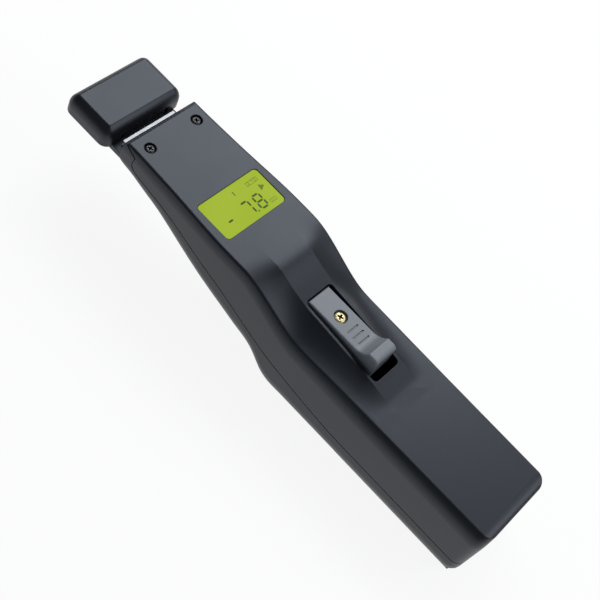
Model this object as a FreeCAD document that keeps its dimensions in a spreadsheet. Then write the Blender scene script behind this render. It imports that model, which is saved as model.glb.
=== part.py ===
import FreeCAD, Part
import math
import os
import re
import Sketcher

Vector = FreeCAD.Vector

# Driving sizes in millimetres, each written once. X runs across the tool, Y towards its head, Z up.
SIZES = {
    # housing, outside
    "body_length": 199.4,
    "body_width": 37.6,
    "face_top": 41.5,
    "tail_top": 32.0,
    "wall": 2.0,
    "head_reach": 26.3,
    "face_length": 60.1,
    "neck_width": 31.4,
    "waist_width": 32.4,
    "face_width": 35.4,
    "grip_face_width": 34.0,
    "tail_face_width": 32.4,
    "side_swell": 1.2,
    "shoulder_radius": 8.0,
    "edge_radius": 1.0,
    "keel_radius": 8.7,
    "neck_bottom": 29.4,
    "heel_height": 8.7,
    "heel_setback": 9.0,
    "heel_run": 16.0,
    "belly_sag": 0.4,
    "tail_round": 1.8,
    "tail_corner": 4.2,
    "section_pitch": 5.0,
    "scoop_share": 0.18,
    # seam between the two shells
    "seam_neck": 33.6,
    "seam_waist": 32.4,
    "seam_face": 26.2,
    "seam_grip": 15.6,
    "seam_tail": 11.8,
    "seam_gap": 0.3,
    "cheek_setback": 5.4,
    "cheek_drop": 3.4,
    "neck_chamfer": 1.5,
    # shoulders and spine of the front shell
    "shoulder_run": 29.0,
    "shoulder_lead": 3.0,
    "spine_width": 14.6,
    "spine_front_top": 36.9,
    "spine_rear_top": 33.5,
    "slot_setback": 18.0,
    "slot_length": 34.3,
    "slot_width": 12.6,
    "slot_radius": 1.6,
    "spine_fade": 6.5,
    # thumb slide
    "slide_gap": 0.3,
    "slide_width": 10.4,
    "slide_top": 36.6,
    "slide_length": 30.6,
    "slide_flat": 21.2,
    "lip_top": 40.2,
    "lip_length": 4.2,
    "lip_radius": 6.0,
    "slide_edge": 0.7,
    "grip_groove": 0.35,
    "grip_slit": 0.55,
    "grip_width": 5.2,
    "grip_pitch": 2.55,
    "grip_setback": 16.2,
    "slide_screw_setback": 10.6,
    "slide_screw_head": 4.4,
    "slide_screw_shank": 2.4,
    "slide_screw_length": 7.0,
    "slide_screw_sink": 0.35,
    # carriage, push rod and return spring
    "carriage_top": 30.4,
    "carriage_thick": 3.0,
    "carriage_width": 14.0,
    "carriage_arm": 10.0,
    "guide_thick": 1.0,
    "arm_width": 8.0,
    "arm_lead": 12.3,
    "rod_height": 31.4,
    "rod_radius": 1.5,
    "rod_seat": 5.0,
    "collar_radius": 3.0,
    "collar_thick": 2.0,
    "bulkhead_setback": 1.0,
    "bulkhead_thick": 2.0,
    "bulkhead_width": 18.0,
    "bulkhead_top": 34.4,
    "bush_radius": 2.4,
    "bush_flange": 3.2,
    "bush_rim": 1.0,
    "running_gap": 0.3,
    "spring_length": 20.0,
    "spring_turns": 6.0,
    "spring_wire": 0.35,
    "spring_radius": 2.25,
    # clamp jaw and fibre slot
    "slot_gap": 5.4,
    "jaw_gap": 1.7,
    "jaw_top": 34.4,
    "jaw_thick": 2.4,
    "jaw_width": 23.4,
    "jaw_bar": 4.0,
    "jaw_groove": 0.9,
    "stem_width": 15.0,
    "stem_length": 20.5,
    "jaw_heel_length": 6.0,
    "jaw_heel_bottom": 29.2,
    "jaw_clearance": 0.4,
    # head
    "head_width": 33.2,
    "head_top": 39.6,
    "head_round": 3.2,
    "head_edge": 3.0,
    "head_crease": 0.6,
    "head_wall": 2.5,
    "tongue_thick": 2.2,
    "tongue_width": 28.6,
    "tongue_lip": 31.4,
    "tongue_lip_length": 10.0,
    "tongue_radius": 3.0,
    "detector_spacing": 10.0,
    "detector_size": 3.0,
    "window_strip_width": 19.8,
    "window_strip_height": 2.8,
    "window_strip_thick": 2.0,
    "window_strip_rise": 0.6,
    "fit_gap": 0.1,
    "sensor_board_width": 22.0,
    "sensor_board_thick": 1.0,
    "sensor_board_height": 5.4,
    "head_screw_spacing": 18.0,
    "head_screw_setback": 6.0,
    "head_screw_length": 5.0,
    "head_screw_sink": 0.2,
    # display and main board
    "lcd_setback": 39.85,
    "lcd_width": 28.2,
    "lcd_height": 15.4,
    "lcd_radius": 1.5,
    "lens_recess": 0.3,
    "lens_thick": 1.7,
    "glass_width": 28.8,
    "glass_height": 17.6,
    "glass_thick": 1.8,
    "backlight_width": 26.0,
    "backlight_height": 12.6,
    "backlight_thick": 1.6,
    "strip_width": 1.6,
    "board_thick": 1.0,
    "board_width": 26.8,
    "board_front_setback": 10.1,
    "board_length": 49.0,
    "chip_size": 9.0,
    "chip_thick": 1.2,
    "chip_setback": 20.0,
    "switch_length": 6.0,
    "switch_width": 5.0,
    "switch_height": 3.9,
    "switch_button": 1.5,
    "switch_offset": 4.7,
    "switch_setback": 26.0,
    # screws and bosses
    "screw_head": 3.7,
    "screw_head_thick": 1.1,
    "screw_shank": 1.9,
    "screw_gap": 0.15,
    "counterbore_gap": 0.3,
    "neck_screw_spacing": 21.6,
    "neck_screw_setback": 6.6,
    "neck_screw_length": 7.0,
    "neck_screw_sink": 0.2,
    "boss_radius": 2.6,
    "back_screw_spacing": 22.0,
    "back_screw_lead": 16.5,
    "back_screw_sink": 1.6,
    "back_screw_length": 9.0,
    "back_boss_height": 5.0,
    "board_screw_spacing": 22.0,
    "board_screw_setback": 3.5,
    "board_screw_length": 3.0,
    # battery, its clip and its door
    "battery_length": 46.4,
    "battery_width": 26.2,
    "battery_height": 17.4,
    "battery_round": 2.0,
    "battery_rise": 2.9,
    "terminal_radius": 3.2,
    "terminal_height": 2.2,
    "terminal_spacing": 12.7,
    "clip_width": 25.0,
    "clip_height": 13.0,
    "clip_thick": 3.0,
    "partition_width": 28.0,
    "partition_thick": 1.4,
    "partition_top": 24.0,
    "door_length": 55.5,
    "door_top": 4.2,
    "door_gap": 0.3,
    "hook_setback": 2.6,
    "hook_thick": 0.8,
    "hook_reach": 0.5,
    "hook_rise": 2.0,
    "hook_grip": 1.0,
    "pad_width": 18.0,
    "pad_length": 34.0,
    "pad_thick": 0.75,
    "thumb_groove_width": 12.0,
    "thumb_groove_pitch": 2.4,
    "thumb_groove_slit": 1.0,
    "thumb_groove_depth": 0.6,
}

doc = FreeCAD.newDocument("fiber_identifier")
sheet = doc.addObject("Spreadsheet::Sheet", "sizes")
for row, (alias, number) in enumerate(SIZES.items(), start=1):
    sheet.set(f"A{row}", alias)
    sheet.set(f"B{row}", str(number))
    sheet.setAlias(f"B{row}", alias)
doc.recompute()

# Places along the tool, as formulas of the sizes
HEAD_END = "(body_length / 2)"
TAIL_END = "(-body_length / 2)"
NECK = f"({HEAD_END} - head_reach)"
HEAD_BACK = f"({NECK} + slot_gap)"
SLOT_FLOOR = "(neck_bottom + tongue_thick)"
RAMP = f"({NECK} - face_length)"
SHOULDER_END = f"({RAMP} - shoulder_run)"
SLOT_FRONT = f"({RAMP} - slot_setback)"
SLOT_REAR = f"({SLOT_FRONT} - slot_length)"
SPINE_END = f"({SLOT_REAR} - spine_fade)"
HEEL = f"({RAMP} - heel_setback)"
SLIDE_FRONT = f"({SLOT_FRONT} - slide_gap)"
SLIDE_REAR = f"({SLIDE_FRONT} - slide_length)"
LCD_Y = f"({NECK} - lcd_setback)"
UNDER_FACE = "(face_top - wall)"
GLASS_TOP = "(face_top - lens_recess - lens_thick - fit_gap)"
BOARD_TOP = f"({GLASS_TOP} - glass_thick - backlight_thick)"
BOARD_FRONT = f"({NECK} - board_front_setback)"
BOARD_REAR = f"({BOARD_FRONT} - board_length)"
BULKHEAD = f"({RAMP} - bulkhead_setback)"
BUSH_FACE = f"({BULKHEAD} + bush_rim)"
COLLAR = f"({BUSH_FACE} + spring_length)"
JAW_FRONT = f"({HEAD_BACK} - jaw_gap)"
JAW_REAR = f"({JAW_FRONT} - jaw_bar - stem_length)"
BATTERY_REAR = f"({TAIL_END} + wall + fit_gap)"
BATTERY_FRONT = f"({BATTERY_REAR} + battery_length)"
DOOR_FRONT = f"({TAIL_END} + door_length)"
NECK_SCREW_Y = f"({NECK} - neck_screw_setback)"
BACK_SCREW_Y = f"({DOOR_FRONT} + back_screw_lead)"


def bound(formula):
    """Writes a formula of size names so that it reads the sheet's cells."""
    return re.sub(r"[a-z][a-z_]*", lambda name: f"sizes.{name.group()}", formula)


def mm(formula):
    """The present value of a formula of size names."""
    return float(sheet.evalExpression(bound(formula)))


def bind(thing, **formulas):
    """Binds an object's properties to formulas, with two underscores for a dot in a property's path."""
    for path, formula in formulas.items():
        thing.setExpression(path.replace("__", "."), bound(formula))
    return thing


# Part primitives and booleans

def box(name, low, high):
    """A block between two opposite corners."""
    block = doc.addObject("Part::Box", name)
    for side, axis, start, end in zip(("Length", "Width", "Height"), "xyz", low, high):
        bind(block, **{side: f"({end}) - ({start})", f"Placement__Base__{axis}": start})
    return block


TURNS = {
    "z": FreeCAD.Rotation(),
    "x": FreeCAD.Rotation(Vector(0, 1, 0), 90),
    "y": FreeCAD.Rotation(Vector(1, 0, 0), -90),
    "down": FreeCAD.Rotation(Vector(1, 0, 0), 180),
}


def rod(name, axis, start, radius, length):
    """A round bar from a start point along +X, +Y or +Z."""
    bar = doc.addObject("Part::Cylinder", name)
    bar.Placement = FreeCAD.Placement(Vector(), TURNS[axis])
    bind(bar, Radius=radius, Height=length)
    return bind(bar, Placement__Base__x=start[0], Placement__Base__y=start[1], Placement__Base__z=start[2])


def cut(name, base, *tools):
    """A piece with other shapes taken away from it."""
    tool = tools[0] if len(tools) == 1 else fuse(name + "_tools", *tools)
    piece = doc.addObject("Part::Cut", name)
    piece.Base = base
    piece.Tool = tool
    piece.Refine = False
    return piece


def fuse(name, *shapes):
    """Several shapes joined in one piece."""
    piece = doc.addObject("Part::MultiFuse", name)
    piece.Shapes = list(shapes)
    piece.Refine = False
    return piece


def common(name, first, second):
    """What two shapes share."""
    piece = doc.addObject("Part::Common", name)
    piece.Base = first
    piece.Tool = second
    piece.Refine = False
    return piece


def mirrored(name, source):
    """The same piece on the other side of the tool."""
    copy = doc.addObject("Part::Mirroring", name)
    copy.Source = source
    copy.Normal = Vector(1, 0, 0)
    return copy


def pair(name, source):
    """A piece and its mirror image, as one group of two solids."""
    group = doc.addObject("Part::Compound", name)
    group.Links = [source, mirrored(name + "_mirror", source)]
    return group


def rounded(name, base, radius, chosen):
    """A piece with the chosen edges rounded."""
    doc.recompute()
    size = mm(radius)
    piece = doc.addObject("Part::Fillet", name)
    piece.Base = base
    piece.Edges = [(i, size, size) for i, edge in enumerate(base.Shape.Edges, start=1) if chosen(edge)]
    return piece


# Sketched bodies

def sketch_on(body, name, role, offset="0"):
    """A sketch on one of the body's own planes, moved along the plane's normal."""
    plane = next(part for part in body.Origin.OriginFeatures if part.Role == role)
    sketch = body.newObject("Sketcher::SketchObject", name)
    sketch.AttachmentSupport = (plane, [""])
    sketch.MapMode = "FlatFace"
    return bind(sketch, AttachmentOffset__Base__z=offset)


def arc_between(start, end, radius):
    """An arc of a given radius, turning left from start to end, or right where the radius is negative."""
    chord = end - start
    half = chord.Length / 2
    left = Vector(-chord.y, chord.x, 0).normalize()
    reach = math.sqrt(max(radius * radius - half * half, 0.0))
    centre = (start + end) * 0.5 + left * math.copysign(reach, radius)
    first, last = (start, end) if radius > 0 else (end, start)
    angles = [math.atan2(point.y - centre.y, point.x - centre.x) for point in (first, last)]
    return Part.ArcOfCircle(Part.Circle(centre, Vector(0, 0, 1), abs(radius)), *angles)


def draw(sketch, corners):
    """A closed outline, anticlockwise. A corner's third value is the radius of the arc to the next corner."""
    points = [Vector(mm(corner[0]), mm(corner[1]), 0) for corner in corners]
    ends = []
    for i, corner in enumerate(corners):
        start, end = points[i], points[(i + 1) % len(points)]
        radius = mm(corner[2]) if len(corner) > 2 else None
        line = arc_between(start, end, radius) if radius else Part.LineSegment(start, end)
        index = sketch.addGeometry(line, False)
        ends.append((index, (2, 1) if radius and radius < 0 else (1, 2)))
    for i, (index, (first, last)) in enumerate(ends):
        following, (entry, _) = ends[(i + 1) % len(ends)]
        sketch.addConstraint(Sketcher.Constraint("Coincident", index, last, following, entry))
    for (index, (first, _)), point, corner in zip(ends, points, corners):
        kinds = [
            ("DistanceX", (index, first), point.x, corner[0]),
            ("DistanceY", (index, first), point.y, corner[1]),
        ]
        if len(corner) > 2:
            kinds.append(("Radius", (index,), abs(mm(corner[2])), corner[2].lstrip("-")))
        for kind, place, number, formula in kinds:
            constraint = sketch.addConstraint(Sketcher.Constraint(kind, *place, number))
            sketch.setExpression(f"Constraints[{constraint}]", bound(formula))
    return sketch


def oblong(x_half, low, high, radius):
    """The corners of an upright rectangle with rounded corners, centred across the tool."""
    return [
        (f"-({x_half}) + {radius}", low), (f"{x_half} - {radius}", low, radius),
        (x_half, f"{low} + {radius}"), (x_half, f"{high} - {radius}", radius),
        (f"{x_half} - {radius}", high), (f"-({x_half}) + {radius}", high, radius),
        (f"-({x_half})", f"{high} - {radius}"), (f"-({x_half})", f"{low} + {radius}", radius),
    ]


def padded(label, role, corners, length, offset="0", both_ways=False, back=False):
    """A body with one outline padded out."""
    body = doc.addObject("PartDesign::Body", label)
    sketch = draw(sketch_on(body, label + "_outline", role, offset), corners)
    pad = body.newObject("PartDesign::Pad", label + "_pad")
    pad.Profile = sketch
    pad.SideType = "Symmetric" if both_ways else "One side"
    pad.Reversed = back
    bind(pad, Length=length)
    return body


def turned(label, profile, place, axis="z"):
    """A body turned about its own axis. The profile gives radius and height from the place."""
    body = doc.addObject("PartDesign::Body", label)
    sketch = draw(sketch_on(body, label + "_profile", "XZ_Plane"), profile)
    turn = body.newObject("PartDesign::Revolution", label + "_turn")
    turn.Profile = sketch
    turn.ReferenceAxis = (sketch, ["V_Axis"])
    turn.Angle = 360
    body.Placement = FreeCAD.Placement(Vector(), TURNS[axis])
    return bind(body, Placement__Base__x=place[0], Placement__Base__y=place[1], Placement__Base__z=place[2])


def screw_profile(head, head_thick, shank, length):
    """Half of a pan-head screw, its head's underside at zero height and its shank pointing down."""
    return [
        ("0", f"-({length})"), (f"{shank} / 2", f"-({length})"), (f"{shank} / 2", "0"),
        (f"{head} / 2", "0"), (f"{head} / 2", f"{head_thick} * 0.45", f"{head}"),
        (f"{head} / 2 * 0.55", head_thick), ("0", head_thick),
    ]


# Outer form of the housing: sections across the tool, lofted from the neck to the tail

def ease(share):
    """A share of a smooth step from 0 to 1."""
    share = min(max(share, 0.0), 1.0)
    return (1 - math.cos(math.pi * share)) / 2


def along(y, stops):
    """A value at y on a smooth line through stops given as (place, value), head first, with no overshoot."""
    if y >= stops[0][0]:
        return stops[0][1]
    if y <= stops[-1][0]:
        return stops[-1][1]
    runs = [(last - first) / (rear - front) for (front, first), (rear, last) in zip(stops, stops[1:])]
    slopes = [0.0]
    for before, after in zip(runs, runs[1:]):
        slopes.append(2 * before * after / (before + after) if before * after > 0 else 0.0)
    slopes.append(0.0)
    index = next(i for i, (rear, _) in enumerate(stops[1:]) if y >= rear)
    (front, first), (rear, last) = stops[index], stops[index + 1]
    span = rear - front
    t = (y - front) / span
    start_part = first * (1 - t) ** 2 * (1 + 2 * t) + slopes[index] * span * t * (1 - t) ** 2
    end_part = last * t ** 2 * (3 - 2 * t) + slopes[index + 1] * span * t ** 2 * (t - 1)
    return start_part + end_part


def straight(y, stops):
    """As along, in straight runs."""
    if y >= stops[0][0]:
        return stops[0][1]
    for (front, first), (rear, last) in zip(stops, stops[1:]):
        if y >= rear:
            return first + (last - first) * (front - y) / (front - rear)
    return stops[-1][1]


neck, ramp, heel = mm(NECK), mm(RAMP), mm(HEEL)
slot_front, slot_rear, spine_end = mm(SLOT_FRONT), mm(SLOT_REAR), mm(SPINE_END)
shoulder_end, tail_end = mm(SHOULDER_END), mm(TAIL_END)
waist = (neck + mm(LCD_Y)) / 2
hip = ramp + (neck - ramp) / 6
grip_start = spine_end - mm("spine_fade")


def shoulder_height(y):
    """Top edge of the housing's sides."""
    return along(y, [(ramp + mm("shoulder_lead"), mm("face_top")), (shoulder_end, mm("tail_top"))])


def spine_height(y):
    """Top of the ridge that carries the thumb slide, never below the shoulders."""
    run = straight(y, [
        (ramp - mm("slot_setback") / 4, mm("face_top")), (slot_front, mm("spine_front_top")),
        (slot_rear, mm("spine_rear_top")), (spine_end, mm("tail_top")),
    ])
    return max(run, shoulder_height(y))


def face_half(y):
    """Half of the width between the top edges."""
    return along(y, [
        (neck, mm("neck_width / 2")), (waist, mm("waist_width / 2")),
        (hip, mm("face_width / 2")), (shoulder_end, mm("grip_face_width / 2")),
        (tail_end, mm("tail_face_width / 2")),
    ])


def flank_half(y):
    """Half of the width at the seam."""
    return along(y, [
        (neck, mm("neck_width / 2 + side_swell * 0.8")), (waist, mm("waist_width / 2 + side_swell")),
        (hip, mm("face_width / 2 + side_swell")), (grip_start, mm("body_width / 2")),
    ])


def seam_height(y):
    """Height of the seam, where the housing is widest."""
    return along(y, [
        (neck, mm("seam_neck")), (waist, mm("seam_waist")), (hip, mm("seam_face")),
        (heel - mm("heel_run"), mm("seam_grip")), (spine_end, mm("seam_tail")),
    ])


def bottom_height(y):
    """Height of the underside: it climbs from the heel to the thin neck."""
    share = min(max((neck - y) / (neck - heel), 0.0), 1.0)
    climb = mm("neck_bottom") + (mm("heel_height") - mm("neck_bottom")) * share
    sag = 4 * mm("belly_sag") * share * (1 - share)
    drop = mm("heel_height") * ease((heel - y) / mm("heel_run"))
    return climb - sag - drop


def stations():
    """Even places of the sections from the neck to where the grip runs straight."""
    count = round((neck - grip_start) / mm("section_pitch"))
    return [neck + (grip_start - neck) * i / count for i in range(count + 1)]


def bulged(start, end, radius):
    """An arc in a section that swells outwards between two points."""
    chord = end - start
    out = Vector(chord.z, 0, -chord.x).normalize()
    if out.x * (start.x + end.x) < 0:
        out = out * -1
    size = max(radius, chord.Length * 0.51)
    rise = size - math.sqrt(size * size - chord.Length * chord.Length / 4)
    return Part.Arc(start, (start + end) * 0.5 + out * rise, end).toShape()


def upright(start, end):
    """An arc between two points of a section that stands upright where it meets the seam."""
    across = abs(start.x - end.x)
    chord = (start - end).Length
    return bulged(start, end, chord * chord / (2 * max(across, 0.01)))


def scooped(start, end, share):
    """The slope from the ridge down to a shoulder, hollowed by a share of its fall."""
    sag = abs(start.z - end.z) * share
    if sag < 0.02:
        return Part.LineSegment(start, end).toShape()
    return Part.Arc(start, (start + end) * 0.5 - Vector(0, 0, sag), end).toShape()


def housing_section(y, inset=0.0, side_inset=0.0):
    """A closed section of the housing at y, drawn in by an inset all round and by one more at the sides."""
    top_half = face_half(y) - inset - side_inset
    side_half = flank_half(y) - inset - side_inset
    top = shoulder_height(y) - inset
    floor = bottom_height(y) + inset
    lean = math.acos(1 - (side_half - top_half) / mm("shoulder_radius"))
    turn = math.pi / 2 - lean
    trim = max(mm("edge_radius") - inset, 0.3) * math.tan(turn / 2)
    ridge = Vector(mm("spine_width / 2"), y, spine_height(y) - inset)
    shore = Vector(top_half - trim, y, top)
    fall = Vector(top_half + trim * math.cos(turn), y, top - trim * math.sin(turn))
    brow = Vector(side_half, y, top - mm("shoulder_radius") * math.sin(lean))
    corner = max(min(mm("keel_radius") - inset, (brow.z - floor) * 0.6), 0.4)
    foot = Vector(side_half, y, floor + corner)
    keel = Vector(side_half - corner, y, floor)

    def half(sign):
        """The lines from the ridge to the keel on one side."""
        points = [Vector(point.x * sign, y, point.z) for point in (ridge, shore, fall, brow, foot, keel)]
        return [
            scooped(points[0], points[1], mm("scoop_share")),
            bulged(points[1], points[2], max(mm("edge_radius") - inset, 0.3)),
            upright(points[2], points[3]),
            Part.makeLine(points[3], points[4]),
            bulged(points[4], points[5], corner),
        ]

    roof = Part.makeLine(Vector(-ridge.x, y, ridge.z), ridge)
    base = Part.makeLine(keel, Vector(-keel.x, y, keel.z))
    return Part.Wire([roof] + half(1) + [base] + half(-1)[::-1])


def housing_form(name, inset, front, rear, rounding):
    """The housing's outside, or its inside where an inset is given, between two ends."""
    places = [min(y, front) for y in stations()]
    parts = [Part.makeLoft([housing_section(y, inset) for y in places], True, False)]
    straight_end = rear + mm("tail_corner") * rounding
    grip = [housing_section(y, inset) for y in (grip_start, straight_end)]
    parts.append(Part.makeLoft(grip, True, True))
    if rounding:
        tail = []
        for step in range(7):
            angle = math.radians(step * 15)
            reach = rear + mm("tail_corner") * (1 - math.sin(angle))
            draw_in = 1 - math.cos(angle)
            tail.append(housing_section(
                reach, mm("tail_round") * draw_in, (mm("tail_corner") - mm("tail_round")) * draw_in))
        parts.append(Part.makeLoft(tail, True, False))
    form = doc.addObject("Part::Feature", name)
    form.Shape = parts[0].fuse(parts[1:]).removeSplitter()
    return form


casing_form = housing_form("casing_form", 0.0, neck, tail_end, 1)
cavity_form = housing_form("cavity_form", mm("wall"), neck - mm("wall"), tail_end + mm("wall"), 0)
hollow = cut("hollow", casing_form, cavity_form)


# The seam between the shells, from the tail to the top of the neck

far = mm("body_length")


def seam_region(name, shift, level):
    """Everything between the seam, moved by a shift away from its middle, and a level above or below it."""
    foot = neck - mm("cheek_setback") * 1.6
    cheek = neck - mm("cheek_setback") - shift
    end = Vector(0, -far, seam_height(tail_end) + shift)
    crown = Vector(0, neck - shift, mm("face_top") + shift)
    run = [Vector(0, y, seam_height(y) + shift) for y in reversed(stations()) if y < foot]
    flank = Part.BSplineCurve()
    flank.interpolate(run)
    rise = mm("face_top") - seam_height(foot)
    curl = Part.BSplineCurve()
    curl.interpolate(
        [
            flank.EndPoint,
            Vector(0, cheek - mm("cheek_drop") * 0.1, seam_height(foot) + rise * 0.3 + shift),
            Vector(0, cheek - mm("cheek_drop") * 0.15, seam_height(foot) + rise * 0.6 + shift),
            crown,
        ],
        InitialTangent=flank.tangent(flank.LastParameter)[0], FinalTangent=Vector(0, 1, 0.45))
    lines = [Part.makeLine(end, flank.StartPoint), flank.toShape(), curl.toShape()]
    rest = [crown, Vector(0, far, crown.z), Vector(0, far, level), Vector(0, -far, level), end]
    lines += [Part.makeLine(first, last) for first, last in zip(rest, rest[1:])]
    width = mm("body_width")
    region = doc.addObject("Part::Feature", name)
    face = Part.Face(Part.Wire(lines))
    face.translate(Vector(-width, 0, 0))
    region.Shape = face.extrude(Vector(width * 2, 0, 0))
    return region


UNDER_ALL = "(-face_top)"
BEYOND = "(body_length)"
upper_region = seam_region("upper_region", mm("seam_gap / 2"), mm("face_top * 2"))
lower_region = seam_region("lower_region", -mm("seam_gap / 2"), mm("-face_top"))


# Front shell: face, ridge with the slide's slot, openings for the display and the screws

neck_wedge = padded(
    "neck_wedge", "YZ_Plane",
    [
        (f"{NECK} - neck_chamfer", "face_top"), (NECK, "face_top - neck_chamfer * 0.7"),
        (f"{NECK} + wall", "face_top - neck_chamfer * 0.7"), (f"{NECK} + wall", "face_top + wall"),
        (f"{NECK} - neck_chamfer", "face_top + wall"),
    ],
    "body_width * 2", both_ways=True)

front_skin = common("front_skin", hollow, upper_region)
back_bosses = rod(
    "back_boss_right", "z", ("back_screw_spacing / 2", BACK_SCREW_Y, "back_boss_height + seam_gap"),
    "boss_radius", "tail_top - wall / 4 - back_boss_height - seam_gap")
board_boss = rod(
    "board_boss_right", "z", ("board_screw_spacing / 2", f"{BOARD_REAR} + board_screw_setback", BOARD_TOP),
    "boss_radius", f"face_top - wall / 2 - {BOARD_TOP}")
guide_rib = box(
    "guide_rib_right",
    ("carriage_width / 2 + slide_gap", f"{SLOT_REAR} - guide_thick", "carriage_top - carriage_thick"),
    ("carriage_width / 2 + slide_gap + guide_thick", f"{SLOT_FRONT} + guide_thick", "spine_front_top"))
front_ribs = fuse(
    "front_ribs", back_bosses, mirrored("back_boss_left", back_bosses), board_boss,
    mirrored("board_boss_left", board_boss), guide_rib, mirrored("guide_rib_left", guide_rib))
front_solid = fuse("front_solid", front_skin, common("front_ribs_inside", front_ribs, casing_form))
display_opening = padded(
    "display_opening", "XY_Plane",
    oblong("lcd_width / 2", f"{LCD_Y} - lcd_height / 2", f"{LCD_Y} + lcd_height / 2", "lcd_radius"),
    "wall * 2", f"face_top - wall * 1.5")
slide_opening = padded(
    "slide_opening", "XY_Plane", oblong("slot_width / 2", SLOT_REAR, SLOT_FRONT, "slot_radius"),
    "face_top", f"carriage_top - carriage_thick")


def screw_hole(name, x, y, z, length):
    """A clearance hole for a screw's shank, from z up."""
    return rod(name, "z", (x, y, z), "screw_shank / 2 + screw_gap", length)


def head_hole(name, x, y, z, length):
    """A counterbore for a screw's head, from z up."""
    return rod(name, "z", (x, y, z), "screw_head / 2 + counterbore_gap", length)


NECK_SEAT = "(face_top - neck_screw_sink - screw_head_thick)"
neck_sink = head_hole("neck_sink_right", "neck_screw_spacing / 2", NECK_SCREW_Y, NECK_SEAT, "wall * 2")
neck_pass = screw_hole(
    "neck_pass_right", "neck_screw_spacing / 2", NECK_SCREW_Y, f"{NECK_SEAT} - neck_screw_length - seam_gap",
    "neck_screw_length + wall")
back_pass = screw_hole(
    "back_pass_right", "back_screw_spacing / 2", BACK_SCREW_Y, "0",
    "back_screw_sink + screw_head_thick + back_screw_length + seam_gap")
board_pass = screw_hole(
    "board_pass_right", "board_screw_spacing / 2", f"{BOARD_REAR} + board_screw_setback",
    f"{BOARD_TOP} - board_thick * 2", "board_screw_length + board_thick + seam_gap")
front_shell = cut(
    "front_shell", front_solid, neck_wedge, display_opening, slide_opening,
    neck_sink, mirrored("neck_sink_left", neck_sink),
    neck_pass, mirrored("neck_pass_left", neck_pass), back_pass, mirrored("back_pass_left", back_pass),
    board_pass, mirrored("board_pass_left", board_pass))


# Rear shell: tongue under the head, jaw opening, bulkhead, bosses and the battery opening

tongue = padded(
    "tongue", "XY_Plane",
    [
        ("-tongue_width / 2", f"{NECK} - wall"), ("tongue_width / 2", f"{NECK} - wall"),
        ("tongue_width / 2", f"{HEAD_END} - tongue_lip_length"),
        ("tongue_lip / 2", f"{HEAD_END} - tongue_lip_length"),
        ("tongue_lip / 2", f"{HEAD_END} - tongue_radius", "tongue_radius"),
        ("tongue_lip / 2 - tongue_radius", HEAD_END),
        ("-tongue_lip / 2 + tongue_radius", HEAD_END, "tongue_radius"),
        ("-tongue_lip / 2", f"{HEAD_END} - tongue_radius"),
        ("-tongue_lip / 2", f"{HEAD_END} - tongue_lip_length"),
        ("-tongue_width / 2", f"{HEAD_END} - tongue_lip_length"),
    ],
    "tongue_thick", "neck_bottom")
neck_boss = rod(
    "neck_boss_right", "z", ("neck_screw_spacing / 2", NECK_SCREW_Y, "0"), "boss_radius",
    f"{UNDER_FACE} - seam_gap")
back_cup = rod(
    "back_cup_right", "z", ("back_screw_spacing / 2", BACK_SCREW_Y, "0"), "boss_radius + wall / 2",
    "back_boss_height")
bulkhead = box(
    "bulkhead", ("-bulkhead_width / 2", f"{BULKHEAD} - bulkhead_thick", "0"),
    ("bulkhead_width / 2", BULKHEAD, "bulkhead_top"))
partition = box(
    "partition", ("-partition_width / 2", f"{DOOR_FRONT} + door_gap * 2", "0"),
    ("partition_width / 2", f"{DOOR_FRONT} + door_gap * 2 + partition_thick", "partition_top"))
rear_ribs = fuse(
    "rear_ribs", neck_boss, mirrored("neck_boss_left", neck_boss),
    back_cup, mirrored("back_cup_left", back_cup), bulkhead, partition)
rear_skin = common("rear_skin", hollow, lower_region)
rear_block = common("rear_block", fuse("rear_ribbed", rear_skin, rear_ribs), casing_form)
rear_solid = fuse("rear_solid", rear_block, tongue)
jaw_opening = box(
    "jaw_opening", ("-jaw_width / 2 - jaw_clearance", f"{NECK} - wall * 2", SLOT_FLOOR),
    ("jaw_width / 2 + jaw_clearance", f"{NECK} + wall", "jaw_top + jaw_clearance"))
bush_hole = rod(
    "bush_hole", "y", ("0", f"{BULKHEAD} - bulkhead_thick * 2", "rod_height"), "bush_radius + screw_gap / 3",
    "bulkhead_thick * 4")
back_sink = head_hole(
    "back_sink_right", "back_screw_spacing / 2", BACK_SCREW_Y, "-wall",
    "wall + back_screw_sink + screw_head_thick")
HEAD_SCREW_Y = f"({HEAD_END} - head_screw_setback)"
head_sink = head_hole(
    "head_sink_right", "head_screw_spacing / 2", HEAD_SCREW_Y, "neck_bottom - wall",
    "wall + head_screw_sink + screw_head_thick")
head_pass = screw_hole(
    "head_pass_right", "head_screw_spacing / 2", HEAD_SCREW_Y, "neck_bottom",
    "head_screw_sink + screw_head_thick + head_screw_length + seam_gap")


def door_space(name, gap):
    """The part of the housing's end below the door's edge, widened by a gap."""
    return box(
        name, ("-body_width", f"(-{BEYOND})", UNDER_ALL),
        ("body_width", f"{DOOR_FRONT} + {gap}", f"door_top + {gap}"))


def hook_track(name, gap, rear, front):
    """The hooked rail on one long edge of the door, widened by a gap."""
    inner = "body_width / 2 - hook_setback"
    top = f"door_top + hook_rise + {gap}"
    post = box(
        name + "_post", (f"{inner} - {gap}", rear, "door_top - wall / 2"),
        (f"{inner} + hook_thick + {gap}", front, top))
    toe = box(
        name + "_toe", (f"{inner} - {gap}", rear, f"door_top + hook_rise - hook_grip - {gap}"),
        (f"{inner} + hook_thick + hook_reach + {gap}", front, top))
    return fuse(name, post, toe)


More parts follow.
